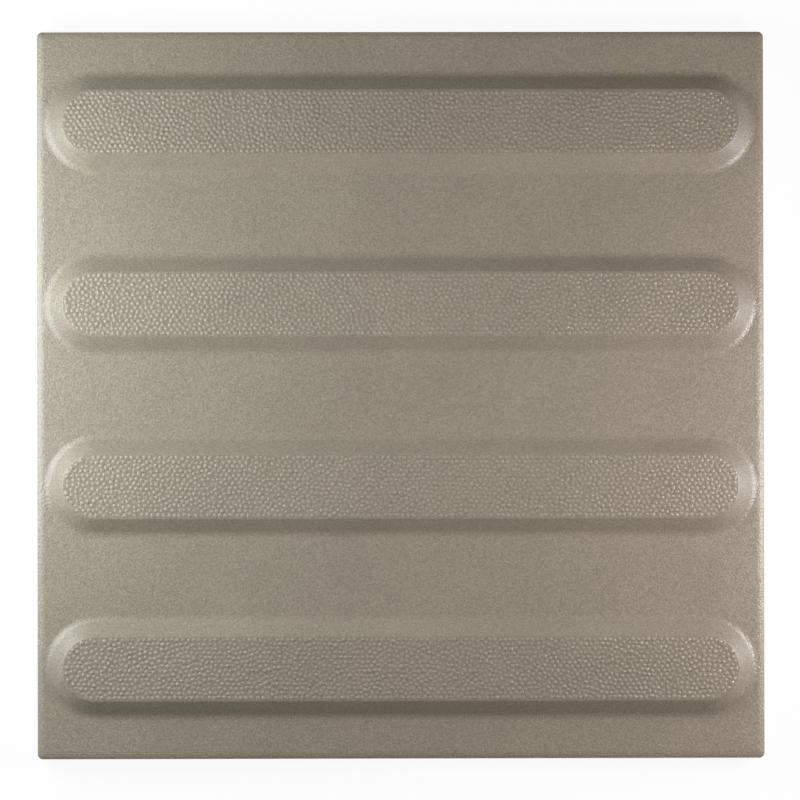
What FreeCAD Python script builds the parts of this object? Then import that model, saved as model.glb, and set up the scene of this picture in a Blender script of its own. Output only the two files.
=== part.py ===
"""Directional tactile paving slab: one pressed porcelain piece, square, with raised guidance bars.

Millimetres, +Z up. The origin is the middle of the underside, and the bars run along X.
"""

import FreeCAD
import Part
import Sketcher
import math
import os

# Driving dimensions: alias, value and what it measures.
SIZES = (
    ("slab_side", 300.0, "square outline, edge to edge"),
    ("field_thickness", 12.0, "underside to the flat field between the bars"),
    ("rim_run", 1.4, "sloping rim round the field, measured across it"),
    ("rim_drop", 0.45, "fall of that slope, out to the side walls"),
    ("brow_radius", 3.2, "rounding where the field turns down into the rim"),
    ("edge_radius", 0.6, "rounding where the rim turns down into the side walls"),
    ("corner_extra", 0.3, "how much rounder the upright corners are than the rim is wide"),
    ("bed_chamfer", 0.8, "bevel round the lower edge"),
    ("bar_count", 4, "bars across one slab"),
    ("bar_height", 5.4, "field to bar top, at the crowns of its fine pips"),
    ("bar_top_width", 26.6, "across a bar top, before its edge is rounded"),
    ("flank_run", 6.5, "sloping side of a bar, measured across the field"),
    ("foot_radius", 6.0, "hollow where a flank runs out into the field"),
    ("crest_radius", 1.0, "rounding along the edge of a bar top"),
    ("end_border", 0.23, "flat strip between a bar end's foot and the rim"),
    ("key_count", 10, "bedding recesses in each row of the underside"),
    ("key_depth", 1.2, "depth of a bedding recess"),
    ("key_rib", 5.0, "rib between two recesses"),
    ("key_border", 12.0, "plain border outside the recesses"),
)

# Sizes that follow from those. The bars' rhythm carries on over the joint between two slabs.
RIM_FROM_UPRIGHT = "atan(sizes.rim_run / sizes.rim_drop)"
RIM_WIDTH = f"(sizes.rim_run + sizes.brow_radius * tan((90 deg - {RIM_FROM_UPRIGHT}) / 2))"
CORNER_RADIUS = f"({RIM_WIDTH} + sizes.corner_extra)"
WALL_HEIGHT = "(sizes.field_thickness - sizes.rim_drop)"
BAR_PITCH = "(sizes.slab_side / sizes.bar_count)"
FIRST_BAR_Y = f"(({BAR_PITCH} - sizes.slab_side) / 2)"
FLANK_FROM_UPRIGHT = "atan(sizes.flank_run / sizes.bar_height)"
FOOT_SETBACK = f"(sizes.foot_radius * tan((90 deg - {FLANK_FROM_UPRIGHT}) / 2))"
BAR_FOOT_LENGTH = f"(sizes.slab_side - 2 * ({RIM_WIDTH} + sizes.end_border + {FOOT_SETBACK}))"
BAR_FOOT_WIDTH = "(sizes.bar_top_width + 2 * sizes.flank_run)"
KEY_PITCH = "((sizes.slab_side - 2 * sizes.key_border + sizes.key_rib) / sizes.key_count)"
KEY_SIDE = f"({KEY_PITCH} - sizes.key_rib)"
FIRST_KEY = f"(({KEY_PITCH} - sizes.key_count * {KEY_PITCH}) / 2)"

TOUCH = 1e-6  # two heights closer than this are the same


def add_sizes(doc):
    """The sheet of driving dimensions, one aliased cell each, with its meaning beside it."""
    sheet = doc.addObject("Spreadsheet::Sheet", "sizes")
    for row, (alias, value, meaning) in enumerate(SIZES, start=1):
        sheet.set(f"A{row}", str(value))
        sheet.set(f"B{row}", meaning)
        sheet.setAlias(f"A{row}", alias)
    doc.recompute()
    return sheet


def plan_sketch(body, name, at=None):
    """A sketch on the body's own XY plane. Entries of at, such as z, move it by an expression."""
    sketch = body.newObject("Sketcher::SketchObject", name)
    plane = next(f for f in body.Origin.OriginFeatures if f.Role == "XY_Plane")
    sketch.AttachmentSupport = [(plane, "")]
    sketch.MapMode = "FlatFace"
    for axis, expression in (at or {}).items():
        sketch.setExpression(f"AttachmentOffset.Base.{axis}", expression)
    return sketch


def constrain(sketch, name, expression, *constraint):
    """A named dimension of a sketch that follows the sheet."""
    index = sketch.addConstraint(Sketcher.Constraint(*constraint))
    sketch.renameConstraint(index, name)
    sketch.setExpression(f"Constraints.{name}", expression)


def draw_rectangle(sketch, length, width):
    """A rectangle about the sketch's origin, its sides numbered 0 to 3 from the lower one."""
    guess = 10.0
    corners = [FreeCAD.Vector(x * guess, y * guess, 0) for x, y in ((-1, -1), (1, -1), (1, 1), (-1, 1))]
    for side in range(4):
        sketch.addGeometry(Part.LineSegment(corners[side], corners[(side + 1) % 4]))
    for side in range(4):
        sketch.addConstraint(Sketcher.Constraint("Coincident", side, 2, (side + 1) % 4, 1))
        sketch.addConstraint(Sketcher.Constraint("Vertical" if side % 2 else "Horizontal", side))
    sketch.addConstraint(Sketcher.Constraint("Symmetric", 0, 1, 1, 2, -1, 1))
    constrain(sketch, "length", length, "DistanceX", 0, 1, 0, 2, 2 * guess)
    constrain(sketch, "width", width, "DistanceY", 1, 1, 1, 2, 2 * guess)


def add_arc(sketch, centre, radius, start, end):
    """A circular arc of a sketch between two angles in degrees, counted anticlockwise from its X axis."""
    circle = Part.Circle(FreeCAD.Vector(*centre, 0), FreeCAD.Vector(0, 0, 1), radius)
    sketch.addGeometry(Part.ArcOfCircle(circle, math.radians(start), math.radians(end)))


def draw_rounded_rectangle(sketch, length, width, radius):
    """A rectangle about the sketch's origin with equal round corners: sides 0 to 3, corners 4 to 7."""
    guess, arm = 2.0, 8.0
    ends = (
        ((-arm, -arm - guess), (arm, -arm - guess)),
        ((arm + guess, -arm), (arm + guess, arm)),
        ((arm, arm + guess), (-arm, arm + guess)),
        ((-arm - guess, arm), (-arm - guess, -arm)),
    )
    centres = ((arm, -arm), (arm, arm), (-arm, arm), (-arm, -arm))
    for start, end in ends:
        sketch.addGeometry(Part.LineSegment(FreeCAD.Vector(*start, 0), FreeCAD.Vector(*end, 0)))
    for corner, centre in enumerate(centres):
        add_arc(sketch, centre, guess, 90 * (corner - 1), 90 * corner)
    for side in range(4):
        corner = 4 + side
        sketch.addConstraint(Sketcher.Constraint("Tangent", side, 2, corner, 1))
        sketch.addConstraint(Sketcher.Constraint("Tangent", corner, 2, (side + 1) % 4, 1))
        sketch.addConstraint(Sketcher.Constraint("Vertical" if side % 2 else "Horizontal", side))
    for corner in (5, 6, 7):
        sketch.addConstraint(Sketcher.Constraint("Equal", 4, corner))
    sketch.addConstraint(Sketcher.Constraint("Symmetric", 4, 3, 6, 3, -1, 1))
    constrain(sketch, "length", length, "DistanceX", 3, 1, 1, 1, 2 * (arm + guess))
    constrain(sketch, "width", width, "DistanceY", 0, 1, 2, 1, 2 * (arm + guess))
    constrain(sketch, "radius", radius, "Radius", 4, guess)


def draw_slot(sketch, length, width):
    """A long outline with half-round ends about the sketch's origin: sides 0 and 1, ends 2 and 3."""
    guess, arm = 4.0, 10.0
    for x, y in ((arm, -guess), (-arm, guess)):
        sketch.addGeometry(Part.LineSegment(FreeCAD.Vector(-x, y, 0), FreeCAD.Vector(x, y, 0)))
    add_arc(sketch, (arm, 0), guess, -90, 90)
    add_arc(sketch, (-arm, 0), guess, 90, 270)
    for before, after in ((0, 2), (2, 1), (1, 3), (3, 0)):
        sketch.addConstraint(Sketcher.Constraint("Tangent", before, 2, after, 1))
    sketch.addConstraint(Sketcher.Constraint("Horizontal", 0))
    sketch.addConstraint(Sketcher.Constraint("Equal", 2, 3))
    sketch.addConstraint(Sketcher.Constraint("Symmetric", 2, 3, 3, 3, -1, 1))
    constrain(sketch, "straight", f"{length} - {width}", "DistanceX", 3, 3, 2, 3, 2 * arm)
    constrain(sketch, "end_radius", f"{width} / 2", "Radius", 2, guess)


def row_pattern(body, name, feature, sketch, rows):
    """Repeats a feature along the sketch's axes: rows holds an axis, a count and a pitch for each way."""
    pattern = body.newObject("PartDesign::LinearPattern", name)
    pattern.Originals = [feature]
    for suffix, (axis, count, pitch) in zip(("", "2"), rows):
        setattr(pattern, f"Direction{suffix}", (sketch, [axis]))
        setattr(pattern, f"Mode{suffix}", "Spacing")
        setattr(pattern, f"Spacings{suffix}", [])  # no step has a spacing of its own
        pattern.setExpression(f"Occurrences{suffix}", count)
        pattern.setExpression(f"Offset{suffix}", pitch)
    body.Tip = pattern
    return pattern


def level_faces(shape, height):
    """The faces of a shape that lie flat at one height."""
    for face in shape.Faces:
        box = face.BoundBox
        if max(abs(box.ZMin - height), abs(box.ZMax - height)) < TOUCH:
            yield face


def level_edges(shape, height):
    """The edges of a shape that lie flat at one height."""
    for edge in shape.Edges:
        box = edge.BoundBox
        if max(abs(box.ZMin - height), abs(box.ZMax - height)) < TOUCH:
            yield edge


def dress_edges(doc, body, name, edges, kind, size):
    """A Fillet or Chamfer on some edges of the body so far: size is its property and value."""
    base = body.Tip
    wanted = {edge.hashCode() for edge in edges}
    names = [f"Edge{n}" for n, edge in enumerate(base.Shape.Edges, start=1) if edge.hashCode() in wanted]
    dressing = body.newObject(f"PartDesign::{kind}", name)
    dressing.Base = (base, names)
    dressing.setExpression(*size)
    body.Tip = dressing
    doc.recompute()


def add_plate(doc, body):
    """The plain square plate: upright walls, then the sloping rim up to the level of the field."""
    for name, at, height, lean in (
        ("wall", None, WALL_HEIGHT, "0 deg"),
        ("rim", {"z": WALL_HEIGHT}, "sizes.rim_drop", f"-{RIM_FROM_UPRIGHT}"),
    ):
        outline = plan_sketch(body, f"{name}_outline", at)
        draw_rounded_rectangle(outline, "sizes.slab_side", "sizes.slab_side", CORNER_RADIUS)
        pad = body.newObject("PartDesign::Pad", name)
        pad.Profile = outline
        pad.setExpression("Length", height)
        pad.setExpression("TaperAngle", lean)
        doc.recompute()


def add_bars(doc, body):
    """The guidance bars: one is padded with sloping flanks, then repeated across the field."""
    foot = plan_sketch(body, "bar_foot", {"y": FIRST_BAR_Y, "z": "sizes.field_thickness"})
    draw_slot(foot, BAR_FOOT_LENGTH, BAR_FOOT_WIDTH)
    bar = body.newObject("PartDesign::Pad", "bar")
    bar.Profile = foot
    bar.setExpression("Length", "sizes.bar_height")
    bar.setExpression("TaperAngle", f"-{FLANK_FROM_UPRIGHT}")
    doc.recompute()
    row_pattern(body, "bars", bar, foot, [("V_Axis", "sizes.bar_count", BAR_PITCH)])
    doc.recompute()


def dress_plate(doc, body, sheet):
    """The hollows at the bars' feet, the rim's roundings, the bars' soft top edges and the lower bevel."""
    field_height = float(sheet.field_thickness)
    wall_height = field_height - float(sheet.rim_drop)
    bar_top = field_height + float(sheet.bar_height)

    def widest_face(height):
        return max(level_faces(body.Tip.Shape, height), key=lambda face: face.Area)

    field = widest_face(field_height)
    feet = [edge for wire in field.Wires if not wire.isSame(field.OuterWire) for edge in wire.Edges]
    dress_edges(doc, body, "bar_feet", feet, "Fillet", ("Radius", "sizes.foot_radius"))
    brow = widest_face(field_height).OuterWire.Edges
    dress_edges(doc, body, "rim_brow", brow, "Fillet", ("Radius", "sizes.brow_radius"))
    outer_edge = level_edges(body.Tip.Shape, wall_height)
    dress_edges(doc, body, "outer_edge", outer_edge, "Fillet", ("Radius", "sizes.edge_radius"))
    crests = level_edges(body.Tip.Shape, bar_top)
    dress_edges(doc, body, "bar_crests", crests, "Fillet", ("Radius", "sizes.crest_radius"))
    lower_edge = level_edges(body.Tip.Shape, 0.0)
    dress_edges(doc, body, "lower_bevel", lower_edge, "Chamfer", ("Size", "sizes.bed_chamfer"))


def add_bedding_key(doc, body, sheet):
    """The shallow square recesses of the underside, which key the slab into its bedding."""
    recess = plan_sketch(body, "key_outline", {"x": FIRST_KEY, "y": FIRST_KEY})
    draw_rectangle(recess, KEY_SIDE, KEY_SIDE)
    plain_volume = body.Shape.Volume
    pocket = body.newObject("PartDesign::Pocket", "key_recess")
    pocket.Profile = recess
    pocket.Reversed = True
    pocket.setExpression("Length", "sizes.key_depth")
    doc.recompute()
    one_cut = plain_volume - pocket.Shape.Volume
    rows = [(axis, "sizes.key_count", KEY_PITCH) for axis in ("H_Axis", "V_Axis")]
    row_pattern(body, "key_grid", pocket, recess, rows)
    doc.recompute()
    all_cuts = plain_volume - body.Shape.Volume
    if one_cut <= 0 or round(all_cuts / one_cut) != int(sheet.key_count) ** 2:
        raise RuntimeError("the bedding recesses are not all there")


def check(doc, body):
    """Stops the build if a feature failed or the finished slab is not one sound solid."""
    for thing in doc.Objects:
        if {"Invalid", "Error"} & set(thing.State):
            raise RuntimeError(f"{thing.Label} failed: {thing.State}")
    shape = body.Shape
    if shape.isNull() or not shape.isValid() or len(shape.Solids) != 1:
        raise RuntimeError(f"{body.Label} is not one valid solid")


def main():
    doc = FreeCAD.newDocument("tactile_paving")
    sheet = add_sizes(doc)
    body = doc.addObject("PartDesign::Body", "slab")
    body.Label = "tactile_slab"
    add_plate(doc, body)
    add_bars(doc, body)
    dress_plate(doc, body, sheet)
    add_bedding_key(doc, body, sheet)
    check(doc, body)
    os.makedirs("parts", exist_ok=True)
    body.Shape.exportStep(f"parts/{body.Label}.step")
    box = body.Shape.optimalBoundingBox(False)
    print(f"{body.Label}: {box.XLength:.2f} x {box.YLength:.2f} x {box.ZLength:.2f} mm")
    print(f"volume {body.Shape.Volume:.0f} mm3, {len(body.Shape.Faces)} faces")


main()
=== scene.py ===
"""Looks of a directional tactile paving slab: one pressed porcelain piece with pipped guidance bars.

Metres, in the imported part's own frame: +Z up, the bars along X, the origin in the middle of the underside.
One closed mesh follows the solid's sizes and adds the fine relief: the pips and the softly sinking edge.
"""

import math

import bpy
import numpy as np
from mathutils import Euler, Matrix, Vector
from mathutils.geometry import delaunay_2d_cdt


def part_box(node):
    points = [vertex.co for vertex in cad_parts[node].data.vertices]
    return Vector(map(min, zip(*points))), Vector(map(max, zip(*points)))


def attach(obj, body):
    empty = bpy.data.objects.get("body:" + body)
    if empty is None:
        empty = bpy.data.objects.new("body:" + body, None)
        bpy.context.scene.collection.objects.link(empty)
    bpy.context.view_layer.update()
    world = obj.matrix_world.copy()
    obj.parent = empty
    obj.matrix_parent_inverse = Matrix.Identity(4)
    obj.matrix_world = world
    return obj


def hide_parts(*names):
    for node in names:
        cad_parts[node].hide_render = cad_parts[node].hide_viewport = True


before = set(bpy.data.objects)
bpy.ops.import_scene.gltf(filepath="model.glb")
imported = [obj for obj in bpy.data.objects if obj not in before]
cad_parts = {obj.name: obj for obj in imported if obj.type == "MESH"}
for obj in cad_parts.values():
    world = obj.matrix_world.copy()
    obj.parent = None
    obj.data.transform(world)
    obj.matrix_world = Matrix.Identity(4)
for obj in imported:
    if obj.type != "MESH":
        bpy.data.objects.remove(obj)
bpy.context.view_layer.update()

# Sizes of the slab, as in the solid
MM = 0.001
slab_low, slab_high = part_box("tactile_slab")
SIDE = slab_high.x - slab_low.x
TOP = slab_high.z
BAR_HEIGHT = 5.4 * MM  # over the pips
FIELD = TOP - BAR_HEIGHT
RIM_WIDTH = 1.9 * MM
EDGE_RADIUS = 0.6 * MM
CORNER_EXTRA = 0.3 * MM
BED_BEVEL = 0.8 * MM
BAR_COUNT = 4
BAR_PITCH = SIDE / BAR_COUNT
BAR_TOP_REACH = 26.6 * MM / 2  # from the bar's centre line to the top's edge, before it is rounded
FLANK_RUN = 6.5 * MM
FOOT_RADIUS = 6.0 * MM
CREST_RADIUS = 1.0 * MM
END_BORDER = 0.23 * MM
KEY_COUNT = 10
KEY_DEPTH = 1.2 * MM
KEY_RIB = 5.0 * MM
KEY_BORDER = 12.0 * MM

# Fine relief of the bar tops
PIP_PITCH = 2.28 * MM
PIP_RADIUS = 1.13 * MM
PIP_HEIGHT = 0.4 * MM
PIP_GAP = 0.035 * MM  # least ground between two pips
PIP_LEAST = 0.3 * MM  # a place with less room than this radius stays bare
PIP_SHIFT = 0.45  # how far a pip strays from the even lattice, as a share of the pitch
PIP_SEED = 11

# The field's soft roll-off, a little wider than the solid's sloping rim
ROLL_WIDTH = 3.3 * MM
ROLL_RADIUS = 7.8 * MM

# Places that follow from those
CORNER_RADIUS = RIM_WIDTH + CORNER_EXTRA
BAR_FOOT_SETBACK = FOOT_RADIUS * math.tan(math.atan2(BAR_HEIGHT, FLANK_RUN) / 2)
BAR_END = SIDE / 2 - RIM_WIDTH - END_BORDER - BAR_FOOT_SETBACK - FLANK_RUN
BAR_STRAIGHT = BAR_END - BAR_TOP_REACH  # half the straight part of a bar, between its round ends
BAR_PLACES = [(bar + 0.5) * BAR_PITCH - SIDE / 2 for bar in range(BAR_COUNT)]
KEY_PITCH = (SIDE - 2 * KEY_BORDER + KEY_RIB) / KEY_COUNT
KEY_PLACES = [(key + 0.5 - KEY_COUNT / 2) * KEY_PITCH for key in range(KEY_COUNT)]

# The flanks as seen run up to the ground between the pips, a little lower than the solid's flat top
VALLEY = TOP - PIP_HEIGHT
SLOPE = math.atan2(VALLEY - FIELD, FLANK_RUN)
FOOT_SETBACK = FOOT_RADIUS * math.tan(SLOPE / 2)
CREST_SETBACK = CREST_RADIUS * math.tan(SLOPE / 2)

# Steps along the curves
CORNER_STEPS = 8
RIM_STEPS = 24
EDGE_STEPS = 5
ROLL_STEPS = 4
ROLL_LINES = 3
END_STEPS = 24
SIDE_STEPS = 32
FOOT_STEPS = 6
PIP_SIDES = 6


class Skin:
    """Points and faces of one closed mesh, with each point's painted shade: above 0 painted lighter, below 0
    painted darker.
    """

    def __init__(self):
        self.points = []
        self.faces = []
        self.painted_shade = []

    def add(self, places, height, painted_shade=0.0):
        """Adds points at one height or each at its own; gives their numbers. Rings are anticlockwise."""
        first = len(self.points)
        heights = np.broadcast_to(height, len(places))
        self.points.extend((x, y, z) for (x, y), z in zip(places, heights))
        self.painted_shade.extend([painted_shade] * len(places))
        return list(range(first, len(self.points)))

    def band(self, outer, inner):
        """Four-sided faces between two rings of as many points, facing up, or out if they stand upright."""
        for k in range(len(outer)):
            after = (k + 1) % len(outer)
            self.faces.append((outer[k], outer[after], inner[after], inner[k]))

    def bands(self, rings):
        """A band between each ring and the next."""
        for outer, inner in zip(rings, rings[1:]):
            self.band(outer, inner)

    def crown(self, ring, point, painted_shade):
        """A point over the middle of a ring, joined to all of it."""
        top = len(self.points)
        self.points.append(point)
        self.painted_shade.append(painted_shade)
        for k in range(len(ring)):
            self.faces.append((ring[k], ring[(k + 1) % len(ring)], top))

    def level(self, outer, holes, loose=(), facing_up=True):
        """Triangles inside an outer ring, round the rings of convex holes and through some loose points."""
        rings = [outer, *holes]
        numbers = [number for ring in rings for number in ring] + list(loose)
        owner = np.repeat([*range(len(rings)), 0], [len(ring) for ring in (*rings, loose)])
        flat = [Vector(self.points[number][:2]) for number in numbers]
        edges = []
        for ring in rings:
            first = len(edges)
            edges.extend((first + k, first + (k + 1) % len(ring)) for k in range(len(ring)))
        _, _, triangles, origins, _, _ = delaunay_2d_cdt(flat, edges, [], 1, 1e-9)
        source = [origin[0] for origin in origins]
        for triangle in triangles:
            a, b, c = (source[k] for k in triangle)
            if owner[a] == owner[b] == owner[c] != 0:
                continue  # the inside of a hole
            turns_left = (flat[b] - flat[a]).cross(flat[c] - flat[a]) > 0
            corners = (a, b, c) if turns_left == facing_up else (a, c, b)
            self.faces.append(tuple(numbers[k] for k in corners))


def rounded_square(inset):
    """Outline of the slab drawn in by an inset."""
    arm = SIDE / 2 - CORNER_RADIUS
    radius = CORNER_RADIUS - inset
    turn = np.linspace(0, math.pi / 2, CORNER_STEPS + 1)
    run = np.linspace(arm, -arm, RIM_STEPS + 1)[1:-1]
    x = np.concatenate([arm + radius * np.cos(turn), run])
    y = np.concatenate([arm + radius * np.sin(turn), np.full_like(run, arm + radius)])
    return np.vstack([np.column_stack(pair) for pair in ((x, y), (-y, x), (-x, -y), (y, -x))])


def roll_off(places):
    """How far the field has sunk at some places, by how near they are to the slab's outline."""
    out = np.abs(places) - (SIDE / 2 - CORNER_RADIUS)
    inset = CORNER_RADIUS - np.hypot(*np.clip(out, 0, None).T) - np.minimum(out.max(axis=1), 0)
    sunk = np.clip(ROLL_WIDTH - inset, 0, None)
    return ROLL_RADIUS - np.sqrt(ROLL_RADIUS**2 - sunk**2)


def bar_outline(reach, middle):
    """Outline of a bar at some reach from its centre line: straight sides and half-round ends."""
    turn = np.linspace(-math.pi / 2, math.pi / 2, END_STEPS + 1)
    end = np.column_stack([BAR_STRAIGHT + reach * np.cos(turn), reach * np.sin(turn)])
    run = np.linspace(BAR_STRAIGHT, -BAR_STRAIGHT, SIDE_STEPS + 1)[1:-1]
    half = np.vstack([end, np.column_stack([run, np.full_like(run, reach)])])
    return np.vstack([half, -half]) + (0, middle)


def key_outline(x, y):
    """Outline of one square recess of the underside."""
    half = (KEY_PITCH - KEY_RIB) / 2
    return [(x + across * half, y + along * half) for across, along in ((-1, -1), (1, -1), (1, 1), (-1, 1))]


def arc(out, height, radius, first, last, steps, painted_shade=0.0):
    """Places of a section along an arc about a centre, between two tilts. A hollow's radius is negative."""
    tilts = np.linspace(first, last, steps + 1)
    return [(out + radius * math.sin(tilt), height + radius * math.cos(tilt), painted_shade) for tilt in tilts]


def add_plate(skin):
    """The side walls from the lower bevel up over the soft rim. Gives the first and the last ring."""
    inner = ROLL_RADIUS - EDGE_RADIUS
    edge_tilt = math.asin((ROLL_WIDTH - EDGE_RADIUS) / inner)
    last_tilt = math.asin((ROLL_WIDTH - RIM_WIDTH) / ROLL_RADIUS)
    middle = FIELD - ROLL_RADIUS
    # Each step ends with its painted shade: the rounded top edge is painted lighter as a highlight, and the
    # bevel's top and the sinking rim a little lighter.
    section = [(-BED_BEVEL, 0.0, 0.0), (0.0, BED_BEVEL, 0.3)]
    edge_height = middle + inner * math.cos(edge_tilt)
    section += arc(-EDGE_RADIUS, edge_height, EDGE_RADIUS, math.pi / 2, edge_tilt, EDGE_STEPS, 0.7)
    section += arc(-ROLL_WIDTH, middle, ROLL_RADIUS, edge_tilt, last_tilt, ROLL_STEPS, 0.3)[1:]
    rings = [skin.add(rounded_square(-out), height, painted_shade) for out, height, painted_shade in section]
    skin.bands(rings)
    return rings[0], rings[-1]


def add_roll_off(skin):
    """Loose points where the field starts to sink, clear of the bars' feet. Gives their numbers."""
    lines = []
    for inset in np.linspace(RIM_WIDTH, ROLL_WIDTH, ROLL_LINES + 1)[1:]:
        reach = SIDE / 2 - inset
        run = np.linspace(-reach, reach, 2 * RIM_STEPS + 1)[:-1]
        side = np.column_stack([run, np.full_like(run, -reach)])
        lines += [side, -side, side[:, ::-1] * (-1, 1), side[:, ::-1] * (1, -1)]
    places = np.vstack(lines)
    for middle in BAR_PLACES:
        out = from_centre_line(places - (0, middle))[1]
        places = places[out > BAR_TOP_REACH + FLANK_RUN + FOOT_SETBACK + 0.3 * MM]
    return skin.add(places, FIELD - roll_off(places))


def add_bar(skin, middle):
    """The foot's hollow, the flank and the soft crest of one bar. Gives the first and the last ring."""
    foot_out = FLANK_RUN + FOOT_SETBACK
    # Each step ends with its painted shade: the foot's hollow, the flank and the crest are painted darker,
    # most where the crest meets the ground between the pips.
    section = arc(foot_out, FIELD + FOOT_RADIUS, -FOOT_RADIUS, 0.0, SLOPE, FOOT_STEPS, -0.3)
    crest = (-CREST_SETBACK, VALLEY - CREST_RADIUS, CREST_RADIUS)
    section += arc(*crest, SLOPE, 0.75 * SLOPE, 1, -0.3)
    section += arc(*crest, 0.5 * SLOPE, 0.0, 2, -0.5)
    rings = []
    for out, height, painted_shade in section:
        outline = bar_outline(BAR_TOP_REACH + out, middle)
        rings.append(skin.add(outline, height - roll_off(outline), painted_shade))
    skin.bands(rings)
    return rings[0], rings[-1]


def distances(places):
    """Steps and distances between all pairs of places; a place is far from itself."""
    apart = places[:, None] - places[None]
    distance = np.hypot(apart[..., 0], apart[..., 1])
    np.fill_diagonal(distance, np.inf)
    return apart, distance


def from_centre_line(places):
    """How far places are out from a bar's centre line, as steps and as distances."""
    step = places.copy()
    step[:, 0] -= np.clip(places[:, 0], -BAR_STRAIGHT, BAR_STRAIGHT)
    return step, np.hypot(step[:, 0], step[:, 1])


def scatter_pips(rng):
    """Places and radii of one bar's pips: a close lattice, shaken, eased apart and kept on the bar top."""
    reach = BAR_TOP_REACH - CREST_SETBACK - PIP_GAP
    outer = reach - 0.9 * PIP_RADIUS
    rows = 2 * math.ceil(outer / (PIP_PITCH * math.sqrt(3) / 2))
    columns = 2 * math.ceil((BAR_STRAIGHT + outer) / PIP_PITCH)
    row, column = np.mgrid[0:rows, 0:columns]
    x = (column - columns / 2 + row % 2 / 2 + 0.25) * PIP_PITCH
    y = np.linspace(-outer, outer, rows)[row]
    places = np.column_stack([x.ravel(), y.ravel()])
    places = places[from_centre_line(places)[1] < outer + PIP_PITCH / 4]
    places += rng.uniform(-PIP_SHIFT, PIP_SHIFT, places.shape) * PIP_PITCH
    for _ in range(7):
        apart, distance = distances(places)
        push = np.clip(PIP_PITCH - distance, 0, None) / distance
        places += 0.2 * (apart * push[..., None]).sum(axis=1)
        step, out = from_centre_line(places)
        places -= step * np.clip(1 - outer / out, 0, None)[:, None]
    _, distance = distances(places)
    room = np.minimum(reach - from_centre_line(places)[1], PIP_RADIUS * rng.uniform(0.8, 1.15, len(places)))
    radii = np.minimum(room, (distance.min(axis=1) - PIP_GAP) / 2)
    for pip in range(len(places)):
        radii[pip] = min(room[pip], (distance[pip] - radii).min() - PIP_GAP)
    kept = radii > PIP_LEAST
    return places[kept], radii[kept]


def add_pips(skin, middle, rng):
    """The small domes of one bar top. Gives the rings round their feet."""
    feet = []
    places, radii = scatter_pips(rng)
    for (x, y), radius in zip(places, radii):
        turn = 2 * math.pi * (np.arange(PIP_SIDES) + rng.random()) / PIP_SIDES
        circle = np.column_stack([np.cos(turn), np.sin(turn)])
        height = PIP_HEIGHT * min(1.0, radius / PIP_RADIUS) * rng.uniform(0.52, 1.0)
        centre = (x, y + middle)
        # Painted shade and highlight: the ground round each pip's foot is painted darkest, the shoulder
        # lighter and the crown lighter still.
        foot = skin.add(centre + radius * circle, VALLEY, -1.0)
        shoulder = skin.add(centre + 0.66 * radius * circle, VALLEY + 0.72 * height, 0.4)
        skin.band(foot, shoulder)
        skin.crown(shoulder, (*centre, VALLEY + height), rng.uniform(0.5, 0.9))
        feet.append(foot)
    return feet


def add_underside(skin, outer):
    """The bedding face with its grid of shallow square recesses."""
    mouths = []
    for x in KEY_PLACES:
        for y in KEY_PLACES:
            mouth = skin.add(key_outline(x, y), 0.0)
            floor = skin.add(key_outline(x, y), KEY_DEPTH)
            skin.band(floor, mouth)
            skin.faces.append(tuple(reversed(floor)))
            mouths.append(mouth)
    skin.level(outer, mouths, facing_up=False)


def make_slab():
    """The whole slab as one closed mesh object."""
    skin = Skin()
    lower_edge, field_edge = add_plate(skin)
    add_underside(skin, lower_edge)
    feet = []
    for bar, middle in enumerate(BAR_PLACES):
        rng = np.random.default_rng(PIP_SEED + bar)
        foot, valley = add_bar(skin, middle)
        skin.level(valley, add_pips(skin, middle, rng))
        feet.append(foot)
    skin.level(field_edge, feet, add_roll_off(skin))
    mesh = bpy.data.meshes.new("porcelain_slab")
    mesh.from_pydata(skin.points, [], skin.faces)
    mesh.attributes.new("painted_shade", "FLOAT", "POINT").data.foreach_set("value", skin.painted_shade)
    mesh.shade_smooth()
    mesh.set_sharp_from_angle(angle=math.radians(55))
    slab = bpy.data.objects.new("porcelain_slab", mesh)
    bpy.context.scene.collection.objects.link(slab)
    normals = slab.modifiers.new("even_normals", "WEIGHTED_NORMAL")
    normals.mode = "FACE_AREA"
    normals.keep_sharp = True
    return slab


def add_node(tree, kind, inputs=None, **settings):
    """A shader node with its settings and inputs: an input is a value or another node's output."""
    node = tree.nodes.new(kind)
    for name, value in settings.items():
        setattr(node, name, value)
    for name, value in (inputs or {}).items():
        if isinstance(value, bpy.types.NodeSocket):
            tree.links.new(value, node.inputs[name])
        else:
            node.inputs[name].default_value = value
    return node


def noise(tree, place, size, detail):
    """Noise whose patches are about one size across, in metres."""
    inputs = {"Vector": place, "Scale": 1 / size, "Detail": detail}
    return add_node(tree, "ShaderNodeTexNoise", inputs).outputs["Fac"]


def between(tree, value, low, high, start=0.3, end=0.7):
    """A value between start and end mapped to between low and high."""
    inputs = {"Value": value, "From Min": start, "From Max": end, "To Min": low, "To Max": high}
    return add_node(tree, "ShaderNodeMapRange", inputs).outputs["Result"]


def product(tree, first, second):
    """Two numbers multiplied."""
    return add_node(tree, "ShaderNodeMath", {0: first, 1: second}, operation="MULTIPLY").outputs["Value"]


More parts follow.
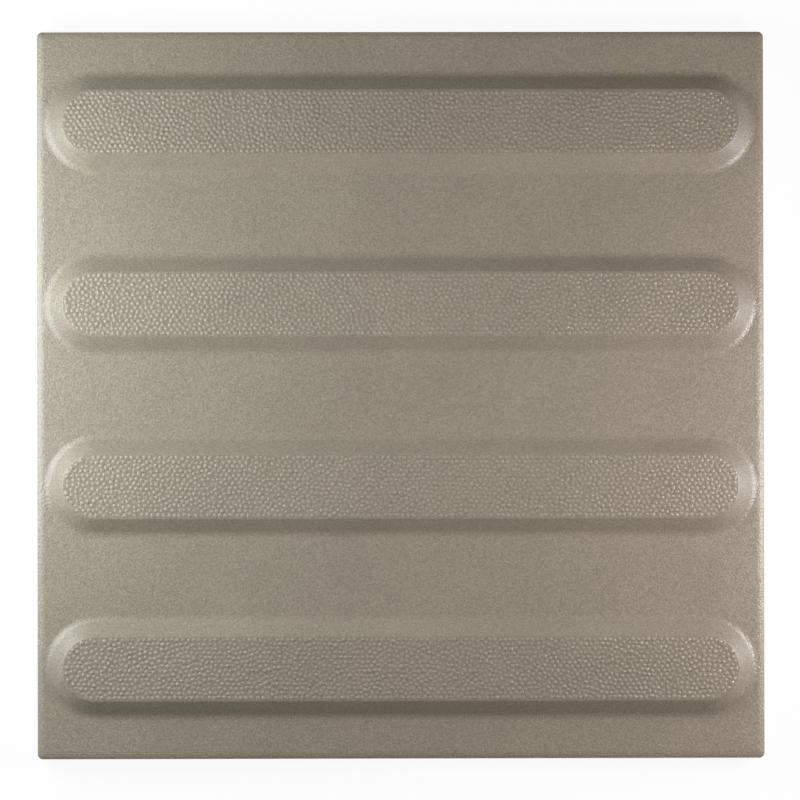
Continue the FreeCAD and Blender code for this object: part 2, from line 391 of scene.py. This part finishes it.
def porcelain():
    """Unglazed porcelain: warm taupe, faintly cloudy, finely speckled, satin, with painted highlights on
    edges and pip crowns and painted shade in hollows, on flanks and between the pips.
    """
    material = bpy.data.materials.new("porcelain")
    material.use_nodes = True
    tree = material.node_tree
    place = add_node(tree, "ShaderNodeTexCoord").outputs["Object"]
    painted_shade = add_node(tree, "ShaderNodeAttribute", attribute_name="painted_shade").outputs["Fac"]
    clouds = noise(tree, place, 30 * MM, 3.0)
    grain = noise(tree, place, 0.9 * MM, 2.0)
    specks = noise(tree, place, 0.45 * MM, 1.0)

    shade = product(tree, between(tree, clouds, 0.96, 1.04), between(tree, grain, 0.87, 1.14))
    shade = product(tree, shade, between(tree, specks, 0.85, 1.16))
    # Painted light and shade: lighter on edges and pip crowns, darker in hollows, on flanks and between the
    # pips.
    shade = product(tree, shade, between(tree, painted_shade, 0.89, 1.11, -1.0, 1.0))
    taupe = (0.276, 0.246, 0.194)
    body = add_node(tree, "ShaderNodeVectorMath", {0: taupe, "Scale": shade}, operation="SCALE")

    gloss = between(tree, noise(tree, place, 6 * MM, 4.0), 0.28, 0.34)
    # The same painted-shade value also makes crowns and edges a little rougher.
    gloss = product(tree, gloss, between(tree, painted_shade, 0.9, 1.3, -1.0, 1.0))
    tooth = add_node(tree, "ShaderNodeBump", {"Height": grain, "Strength": 0.9, "Distance": 0.2 * MM})

    shader = tree.nodes["Principled BSDF"]
    shader.inputs["IOR"].default_value = 1.6
    tree.links.new(body.outputs["Vector"], shader.inputs["Base Color"])
    tree.links.new(gloss, shader.inputs["Roughness"])
    tree.links.new(tooth.outputs["Normal"], shader.inputs["Normal"])
    return material


def shows_background(tree):
    """1 on rays that look at the background itself: straight, mirrored or through glass."""
    rays = add_node(tree, "ShaderNodeLightPath").outputs
    seen = rays["Is Camera Ray"]
    for other in ("Is Glossy Ray", "Is Transmission Ray"):
        either = add_node(tree, "ShaderNodeMath", {0: seen, 1: rays[other]}, operation="MAXIMUM")
        seen = either.outputs["Value"]
    return seen


def white_screen():
    """Material of the floor and backdrop: white where it is looked at, and a little of it takes shadow."""
    material = bpy.data.materials.new("white_screen")
    material.use_nodes = True
    tree = material.node_tree
    matt = add_node(tree, "ShaderNodeBsdfDiffuse", {"Color": (0.85, 0.85, 0.85, 1)})
    glow = add_node(tree, "ShaderNodeEmission", {"Color": (1, 1, 1, 1), "Strength": 1.0})
    share = product(tree, shows_background(tree), 0.94)
    mix = add_node(tree, "ShaderNodeMixShader", {0: share, 1: matt.outputs[0], 2: glow.outputs[0]})
    tree.links.new(mix.outputs[0], tree.nodes["Material Output"].inputs["Surface"])
    return material


def make_backdrop():
    """A wide round floor just under the slab, turned up all round into a low wall."""
    turn = 2 * math.pi * np.arange(64) / 64
    circle = np.column_stack([np.cos(turn), np.sin(turn)])
    screen = Skin()
    section = ((4.6, 0.6), (4.5, 0.2), (4.0, -0.05 * MM))
    rings = [screen.add(radius * circle, height) for radius, height in section]
    screen.bands(rings)
    screen.faces.append(tuple(rings[-1]))
    mesh = bpy.data.meshes.new("backdrop")
    mesh.from_pydata(screen.points, [], screen.faces)
    mesh.materials.append(white_screen())
    backdrop = bpy.data.objects.new("backdrop", mesh)
    bpy.context.scene.collection.objects.link(backdrop)


def make_room():
    """The dim room round the table, which fills the shadows a little."""
    world = bpy.data.worlds.new("room")
    world.use_nodes = True
    room = world.node_tree.nodes["Background"]
    room.inputs["Color"].default_value = (1.0, 0.76, 0.34, 1)
    room.inputs["Strength"].default_value = 0.055
    bpy.context.scene.world = world


def make_lamp(name, place, radius, power, colour, mirrored):
    """A round soft lamp that faces the slab, with the share of its light that shows as shine."""
    for part, share in (("mirrored", mirrored), ("matt", 1 - mirrored)):
        light = bpy.data.lights.new(f"{name}_{part}", "AREA")
        light.shape = "DISK"
        light.size = 2 * radius
        light.energy = share * power
        light.color = colour
        lamp = bpy.data.objects.new(light.name, light)
        lamp.location = place
        lamp.rotation_euler = (-Vector(place)).to_track_quat("-Z", "Y").to_euler()
        lamp.visible_camera = False
        lamp.visible_glossy = part == "mirrored"
        bpy.context.scene.collection.objects.link(lamp)


def make_camera():
    """Straight over the slab, a hair off square, with a long lens."""
    data = bpy.data.cameras.new("camera")
    data.sensor_width = 36.0
    data.lens = 173.18
    camera = bpy.data.objects.new("camera", data)
    camera.location = (-0.01170, -0.01142, 1.6)
    camera.rotation_mode = "ZXY"
    camera.rotation_euler = Euler((0.00591, -0.00716, -0.00175), "ZXY")
    bpy.context.scene.collection.objects.link(camera)
    bpy.context.scene.camera = camera


slab = make_slab()
slab.data.materials.append(porcelain())
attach(slab, "root")
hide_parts("tactile_slab")

make_backdrop()
make_room()
make_lamp("left_lamp", (-0.287, 0.039, 0.190), 0.124, 1.555, (0.957, 1.0, 1.02), 0.6)
make_lamp("right_lamp", (0.330, -0.036, 0.250), 0.055, 1.185, (1.0, 0.93, 0.935), 0.66)
make_lamp("right_low_lamp", (0.361, -0.017, 0.097), 0.090, 0.32, (0.82, 0.9, 1.0), 0.66)
make_camera()
bpy.context.scene.view_settings.view_transform = "Standard"
